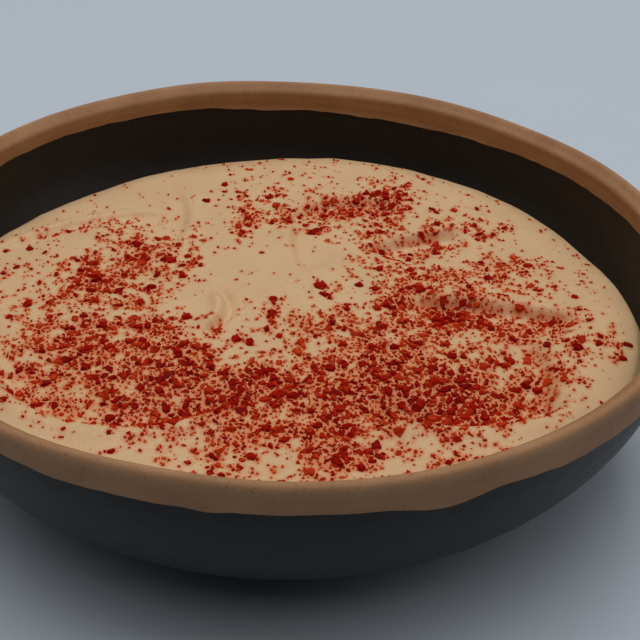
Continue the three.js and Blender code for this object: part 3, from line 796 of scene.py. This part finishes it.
def chip_shapes(places, corners, rng, thickness, curl):
    """Each flake in its own frame: a middle point, a ring of corners on top, and a wider ring that is sunk."""
    count = len(places)
    size = places[:, 2][:, None]
    x, y, _ = corner_ring(size, corners, rng, CHIP_SKEW, CHIP_REACH)
    thick = thickness * size * rng.uniform(*CHIP_THICKNESS_RANGE, (count, 1))
    bend = curl * size * rng.uniform(-1, 1, (count, 1))
    top = thick + bend * (x / size) ** 2 + CHIP_ROUGHNESS * thick * rng.normal(0, 1, (count, corners))
    middle_height = thick[:, 0] * rng.uniform(*CHIP_MIDDLE_RANGE, count)
    middle = np.stack([CHIP_MIDDLE_SHIFT * size[:, 0], 0 * size[:, 0], middle_height], axis=1)
    upper = np.stack([CHIP_TOP * x, CHIP_TOP * y, top], axis=2)
    lower = np.stack([x, y, 0 * x - CHIP_SUNK * size], axis=2)
    return np.concatenate([middle[:, None, :], upper, lower], axis=1)


def chip_faces(corners):
    """Triangles of one chip of chip_shapes."""
    faces = []
    for i in range(corners):
        j = (i + 1) % corners
        faces.append((0, 1 + i, 1 + j))
        faces.append((1 + i, 1 + corners + i, 1 + corners + j))
        faces.append((1 + i, 1 + corners + j, 1 + j))
    for i in range(1, corners - 1):
        faces.append((1 + corners, 1 + corners + i + 1, 1 + corners + i))
    return faces


def grain_shapes(places, corners, rng):
    """Each grain in its own frame: a low peak over a ring of corners that is a little sunk."""
    size = places[:, 2][:, None]
    x, y, reach = corner_ring(size, corners, rng, GRAIN_SKEW, GRAIN_REACH)
    ring = np.stack([x, y, 0 * reach - GRAIN_SUNK * size], axis=2)
    peak = np.stack([GRAIN_PEAK_SHIFT * reach[:, :1], 0 * size, GRAIN_HEIGHT * size], axis=2)
    return np.concatenate([peak, ring], axis=1)


def grain_faces(corners):
    """Triangles of one grain of grain_shapes."""
    sides = [(0, 1 + i, 1 + (i + 1) % corners) for i in range(corners)]
    under = [(1, i + 1, i) for i in range(2, corners)]
    return sides + under


def chilli_piece(name, places, local, faces, rng, tones):
    """One piece of many flakes, from the points of each and the faces of one.

    Each flake has its own tone of red, which is darkened as painted shade where the chilli lies thickly. tones
    are the darkest and the lightest share of the chilli's colours.
    """
    points = placed_points(local, places)
    firsts = np.arange(len(places)) * local.shape[1]
    all_faces = np.array(faces)[None] + firsts[:, None, None]
    piece = mesh_object(name, points.reshape(-1, 3), all_faces.reshape(-1, 3).tolist(), smooth=False)
    low, high = tones
    # Painted shade: where the chilli lies thickly the flakes are coloured darker, for the shade of the flakes
    # over them.
    thickly = np.clip(fine_chilli_share(points[:, 0, 0], points[:, 0, 1]) / HEAPED, 0, 1)
    tone = (low + (high - low) * rng.random(len(points))) * (1 - HEAPED_PAINTED_SHADE * thickly)
    add_values(piece, "tone", np.repeat(tone, points.shape[1]))
    piece.data.materials.append(chilli_material())
    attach(piece, "root")


def make_chips(name, places, corners, seed, thickness, curl, tones):
    """One piece of flat flakes. thickness and curl are shares of their half width."""
    rng = np.random.default_rng(seed)
    local = chip_shapes(places, corners, rng, thickness, curl)
    chilli_piece(name, places, local, chip_faces(corners), rng, tones)


def make_grains(name, places, corners, seed, tones):
    """One piece of small grains."""
    rng = np.random.default_rng(seed)
    local = grain_shapes(places, corners, rng)
    chilli_piece(name, places, local, grain_faces(corners), rng, tones)


def stain_field(kinds):
    """A function that gives how much chilli colour has spread into the hummus at each place."""
    cells = int(2 * STAIN_HALF / STAIN_CELL)

    def cell_at(along):
        return ((along + STAIN_HALF) / STAIN_CELL).astype(int)

    grid = np.zeros((cells, cells))
    for places in kinds:
        np.add.at(grid, (cell_at(places[:, 0]), cell_at(places[:, 1])), places[:, 2] ** 2)
    reach = int(3 * STAIN_SPREAD / STAIN_CELL)
    steps = np.arange(-reach, reach + 1) * STAIN_CELL
    kernel = np.exp(-((steps / STAIN_SPREAD) ** 2))
    kernel /= kernel.sum()
    for axis in (0, 1):
        grid = np.apply_along_axis(lambda line: np.convolve(line, kernel, mode="same"), axis, grid)
    grid = grid / STAIN_CELL**2

    def stain(x, y):
        column = np.clip(cell_at(x), 0, cells - 1)
        row = np.clip(cell_at(y), 0, cells - 1)
        return np.clip(STAIN_STRENGTH * grid[column, row], 0, 1)

    return stain


# ---- materials


class Nodes:
    """A short way to lay out a material's nodes."""

    def __init__(self, name):
        self.material = bpy.data.materials.new(name)
        self.material.use_nodes = True
        self.tree = self.material.node_tree
        self.shader = self.tree.nodes["Principled BSDF"]

    def add(self, kind, **values):
        node = self.tree.nodes.new(kind)
        for key, value in values.items():
            setattr(node, key, value)
        return node

    def link(self, source, target):
        self.tree.links.new(source, target)

    def place(self):
        """The place on the object, in metres."""
        return self.add("ShaderNodeTexCoord").outputs["Object"]

    def value_of(self, name):
        """The value that each point of the object has under this name."""
        return self.add("ShaderNodeAttribute", attribute_name=name).outputs["Fac"]

    def noise(self, size, detail=3.0, roughness=0.5):
        """Noise whose patches are about size millimetres across."""
        node = self.add("ShaderNodeTexNoise")
        node.inputs["Scale"].default_value = 1 / (size * MM)
        node.inputs["Detail"].default_value = detail
        node.inputs["Roughness"].default_value = roughness
        self.link(self.place(), node.inputs["Vector"])
        return node.outputs["Fac"]

    def ramp(self, value, stops):
        """Colours that run from stop to stop, each with its position from 0 to 1."""
        node = self.add("ShaderNodeValToRGB")
        elements = node.color_ramp.elements
        while len(elements) < len(stops):
            elements.new(0.5)
        for element, (position, colour) in zip(elements, stops):
            element.position = position
            element.color = (*colour, 1)
        self.link(value, node.inputs["Fac"])
        return node.outputs["Color"]

    def mix(self, share, first, second):
        """A mix of two colours. share is a socket or a number, and each of the two a socket or a colour."""
        node = self.add("ShaderNodeMix", data_type="RGBA")
        for socket, value in ((node.inputs[0], share), (node.inputs[6], first), (node.inputs[7], second)):
            if isinstance(value, bpy.types.NodeSocket):
                self.link(value, socket)
            else:
                socket.default_value = value if isinstance(value, float) else (*value, 1)
        return node.outputs[2]

    def multiply(self, share, first, second):
        """One colour times another. share, from 0 to 1, is how much of that is used."""
        node = self.add("ShaderNodeMix", data_type="RGBA", blend_type="MULTIPLY")
        node.inputs[0].default_value = share
        self.link(first, node.inputs[6])
        self.link(second, node.inputs[7])
        return node.outputs[2]

    def range(self, value, low, high, from_low=0.0, from_high=1.0):
        """A value from from_low to from_high, brought to the range from low to high and kept inside it."""
        node = self.add("ShaderNodeMapRange")
        node.inputs["From Min"].default_value = from_low
        node.inputs["From Max"].default_value = from_high
        node.inputs["To Min"].default_value = low
        node.inputs["To Max"].default_value = high
        self.link(value, node.inputs["Value"])
        return node.outputs["Result"]

    def bump(self, height, depth, after=None):
        """A bump of depth millimetres. after is an earlier bump that this one adds to."""
        node = self.add("ShaderNodeBump")
        node.inputs["Strength"].default_value = 1.0
        node.inputs["Distance"].default_value = depth * MM
        self.link(height, node.inputs["Height"])
        if after is not None:
            self.link(after, node.inputs["Normal"])
        return node.outputs["Normal"]


def clay_material():
    made = Nodes("bare_clay")
    shader = made.shader
    tone = made.ramp(made.noise(9, 4), [(0.3, (0.37, 0.185, 0.086)), (0.7, (0.46, 0.245, 0.12))])
    specks = made.ramp(made.noise(0.55, 2), [(0.28, (0.45, 0.42, 0.38)), (0.4, (1, 1, 1))])
    grained = made.multiply(0.5, tone, specks)
    # The top of the lip is painted paler, a painted highlight for the light that falls on it. Outside the lip
    # the clay is darker.
    outside = made.value_of("outside")
    painted_lip_light_stops = [
        (0.0, (1.01, 1.05, 1.0)),
        (0.5, (1.13, 1.13, 1.13)),
        (0.75, (0.9, 0.88, 0.85)),
        (1.0, (0.80, 0.78, 0.75)),
    ]
    painted_lip_light = made.ramp(outside, painted_lip_light_stops)
    made.link(made.multiply(1.0, grained, painted_lip_light), shader.inputs["Base Color"])
    made.link(made.range(made.noise(1.5), 0.62, 0.8), shader.inputs["Roughness"])
    grain = made.bump(made.noise(0.35, 4, 0.6), 0.05)
    made.link(made.bump(made.noise(2.6, 2), 0.12, after=grain), shader.inputs["Normal"])
    shader.inputs["Specular IOR Level"].default_value = 0.35
    return made.material


def glaze_material():
    made = Nodes("slate_glaze")
    shader = made.shader
    outer_tones = [(0.3, (0.0055, 0.0043, 0.0033)), (0.7, (0.0095, 0.0076, 0.0058))]
    outer = made.ramp(made.noise(7, 5, 0.6), outer_tones)
    specks = made.ramp(made.noise(0.8, 2), [(0.62, (0, 0, 0)), (0.75, (1, 1, 1))])
    inner = (0.015, 0.0115, 0.0085)
    both = made.mix(made.value_of("outside"), inner, outer)
    speckled = made.mix(made.range(specks, 0.0, 0.35), both, (0.03, 0.025, 0.02))
    made.link(speckled, shader.inputs["Base Color"])
    made.link(made.range(made.noise(3, 4), 0.4, 0.5), shader.inputs["Roughness"])
    fine = made.bump(made.noise(0.5, 3), 0.02)
    made.link(made.bump(made.noise(4, 3), 0.14, after=fine), shader.inputs["Normal"])
    shader.inputs["Specular IOR Level"].default_value = 0.23
    return made.material


def hummus_material():
    made = Nodes("hummus_cream")
    shader = made.shader
    paste = made.ramp(made.noise(11, 3), [(0.3, (0.82, 0.545, 0.29)), (0.7, (0.87, 0.595, 0.325))])
    # The chilli's colour is broken up by noise, as fine dust is.
    dust = made.add("ShaderNodeMath", operation="MULTIPLY_ADD")
    made.link(made.noise(0.5, 2), dust.inputs[0])
    dust.inputs[1].default_value = 0.7
    made.link(made.value_of("stain"), dust.inputs[2])
    stained = made.range(dust.outputs[0], 0.0, 0.85, 0.33, 1.0)
    made.link(made.mix(stained, paste, (0.82, 0.24, 0.08)), shader.inputs["Base Color"])
    made.link(made.range(made.noise(2, 3), 0.5, 0.62), shader.inputs["Roughness"])
    grain = made.bump(made.noise(0.45, 3), 0.03)
    made.link(made.bump(made.noise(2.4, 3), 0.1, after=grain), shader.inputs["Normal"])
    shader.inputs["Subsurface Weight"].default_value = 0.25
    shader.inputs["Subsurface Scale"].default_value = 0.0016
    shader.inputs["Subsurface Radius"].default_value = (1.0, 0.55, 0.3)
    shader.inputs["Specular IOR Level"].default_value = 0.35
    return made.material


def chilli_material():
    """The one material of all the chilli. It is made the first time it is asked for."""
    found = bpy.data.materials.get("chilli")
    if found:
        return found
    made = Nodes("chilli")
    shader = made.shader
    # tone is each flake's own tone of red, darkened as painted shade where the chilli lies thickly.
    tone = made.value_of("tone")
    colours = [
        (0.0, (0.22, 0.0025, 0.0012)),
        (0.3, (0.46, 0.0100, 0.0035)),
        (0.65, (0.72, 0.068, 0.0140)),
        (1.0, (0.90, 0.210, 0.0650)),
    ]
    skin = made.ramp(tone, colours)
    worn = made.ramp(made.noise(0.5, 3), [(0.35, (0.85, 0.85, 0.85)), (0.65, (1.1, 1.1, 1.1))])
    made.link(made.multiply(1.0, skin, worn), shader.inputs["Base Color"])
    made.link(made.range(made.noise(0.7, 2), 0.35, 0.6), shader.inputs["Roughness"])
    made.link(made.bump(made.noise(0.3, 3), 0.04), shader.inputs["Normal"])
    made.link(made.range(tone, 0.2, 0.02, 0.0, 0.08), shader.inputs["Specular IOR Level"])
    shader.inputs["Subsurface Weight"].default_value = 0.3
    shader.inputs["Subsurface Scale"].default_value = 0.0005
    shader.inputs["Subsurface Radius"].default_value = (1.0, 0.3, 0.2)
    return made.material


def floor_material():
    made = Nodes("studio_floor")
    shader = made.shader
    tone = made.ramp(made.noise(60, 2), [(0.3, (0.67, 0.745, 0.83)), (0.7, (0.68, 0.755, 0.84))])
    made.link(tone, shader.inputs["Base Color"])
    shader.inputs["Roughness"].default_value = 0.9
    shader.inputs["Specular IOR Level"].default_value = 0.1
    return made.material


# ---- studio


def make_floor():
    reach = FLOOR_REACH
    corners = np.array([[-reach, -reach, 0], [reach, -reach, 0], [reach, reach, 0], [-reach, reach, 0]])
    floor = mesh_object("floor", corners, [(0, 1, 2, 3)])
    floor.data.materials.append(floor_material())


def make_light(name, azimuth, elevation, power):
    """A soft square light that faces the hummus."""
    turn = math.radians(azimuth)
    rise = math.radians(elevation)
    aim = Vector((0, 0, FILL_LEVEL * MM))
    away = Vector((math.cos(turn) * math.cos(rise), math.sin(turn) * math.cos(rise), math.sin(rise)))
    data = bpy.data.lights.new(name, "AREA")
    data.shape = "SQUARE"
    data.size = LIGHT_SIDE
    data.energy = power
    light = bpy.data.objects.new(name, data)
    light.location = aim + away * LIGHT_DISTANCE
    light.rotation_euler = away.to_track_quat("Z", "Y").to_euler()
    bpy.context.scene.collection.objects.link(light)


def make_lights():
    world = bpy.data.worlds.new("studio")
    world.use_nodes = True
    background = world.node_tree.nodes["Background"]
    background.inputs["Color"].default_value = SKY_COLOUR
    background.inputs["Strength"].default_value = SKY_STRENGTH
    bpy.context.scene.world = world
    for name, values in LIGHTS.items():
        make_light(name, *values)


def make_camera():
    """The camera looks at the middle of the rim and is then turned a little by its yaw, pitch and roll."""
    middle = Vector((0, 0, BOWL_HEIGHT * MM))
    elevation = math.radians(CAMERA_ELEVATION)
    away = Vector((0, -math.cos(elevation), math.sin(elevation)))
    right = Vector((1, 0, 0))
    yaw = Matrix.Rotation(CAMERA_YAW, 3, away.cross(right))
    back = yaw @ away
    right = yaw @ right
    back = Matrix.Rotation(CAMERA_PITCH, 3, right) @ back
    up = back.cross(right)
    roll = Matrix.Rotation(CAMERA_ROLL, 3, back)
    right = roll @ right
    up = roll @ up
    data = bpy.data.cameras.new("camera")
    data.sensor_width = SENSOR_WIDTH
    data.lens = FOCAL_PIXELS / FRAME_PIXELS * SENSOR_WIDTH
    data.clip_start = 0.01
    camera = bpy.data.objects.new("camera", data)
    turned = Matrix((right, up, back)).transposed().to_4x4()
    camera.matrix_world = Matrix.Translation(middle + away * CAMERA_DISTANCE * MM) @ turned
    bpy.context.scene.collection.objects.link(camera)
    bpy.context.scene.camera = camera


# ---- the whole

bpy.context.scene.view_settings.view_transform = "Standard"
make_camera()
make_floor()
make_lights()
make_bowl()
large = large_flake_places()
medium, small, fine = (scattered_places(kind) for kind in FINER_KINDS)
make_hummus(stain_field([large, medium, small, fine]))
make_chips("chilli_large", large, corners=9, seed=81, thickness=0.3, curl=0.14, tones=(0.05, 0.3))
make_chips("chilli_medium", medium, corners=7, seed=82, thickness=0.4, curl=0.14, tones=(0.1, 0.72))
make_chips("chilli_small", small, corners=5, seed=83, thickness=0.6, curl=0.1, tones=(0.3, 1.0))
make_grains("chilli_fine", fine, corners=5, seed=84, tones=(0.7, 1.0))
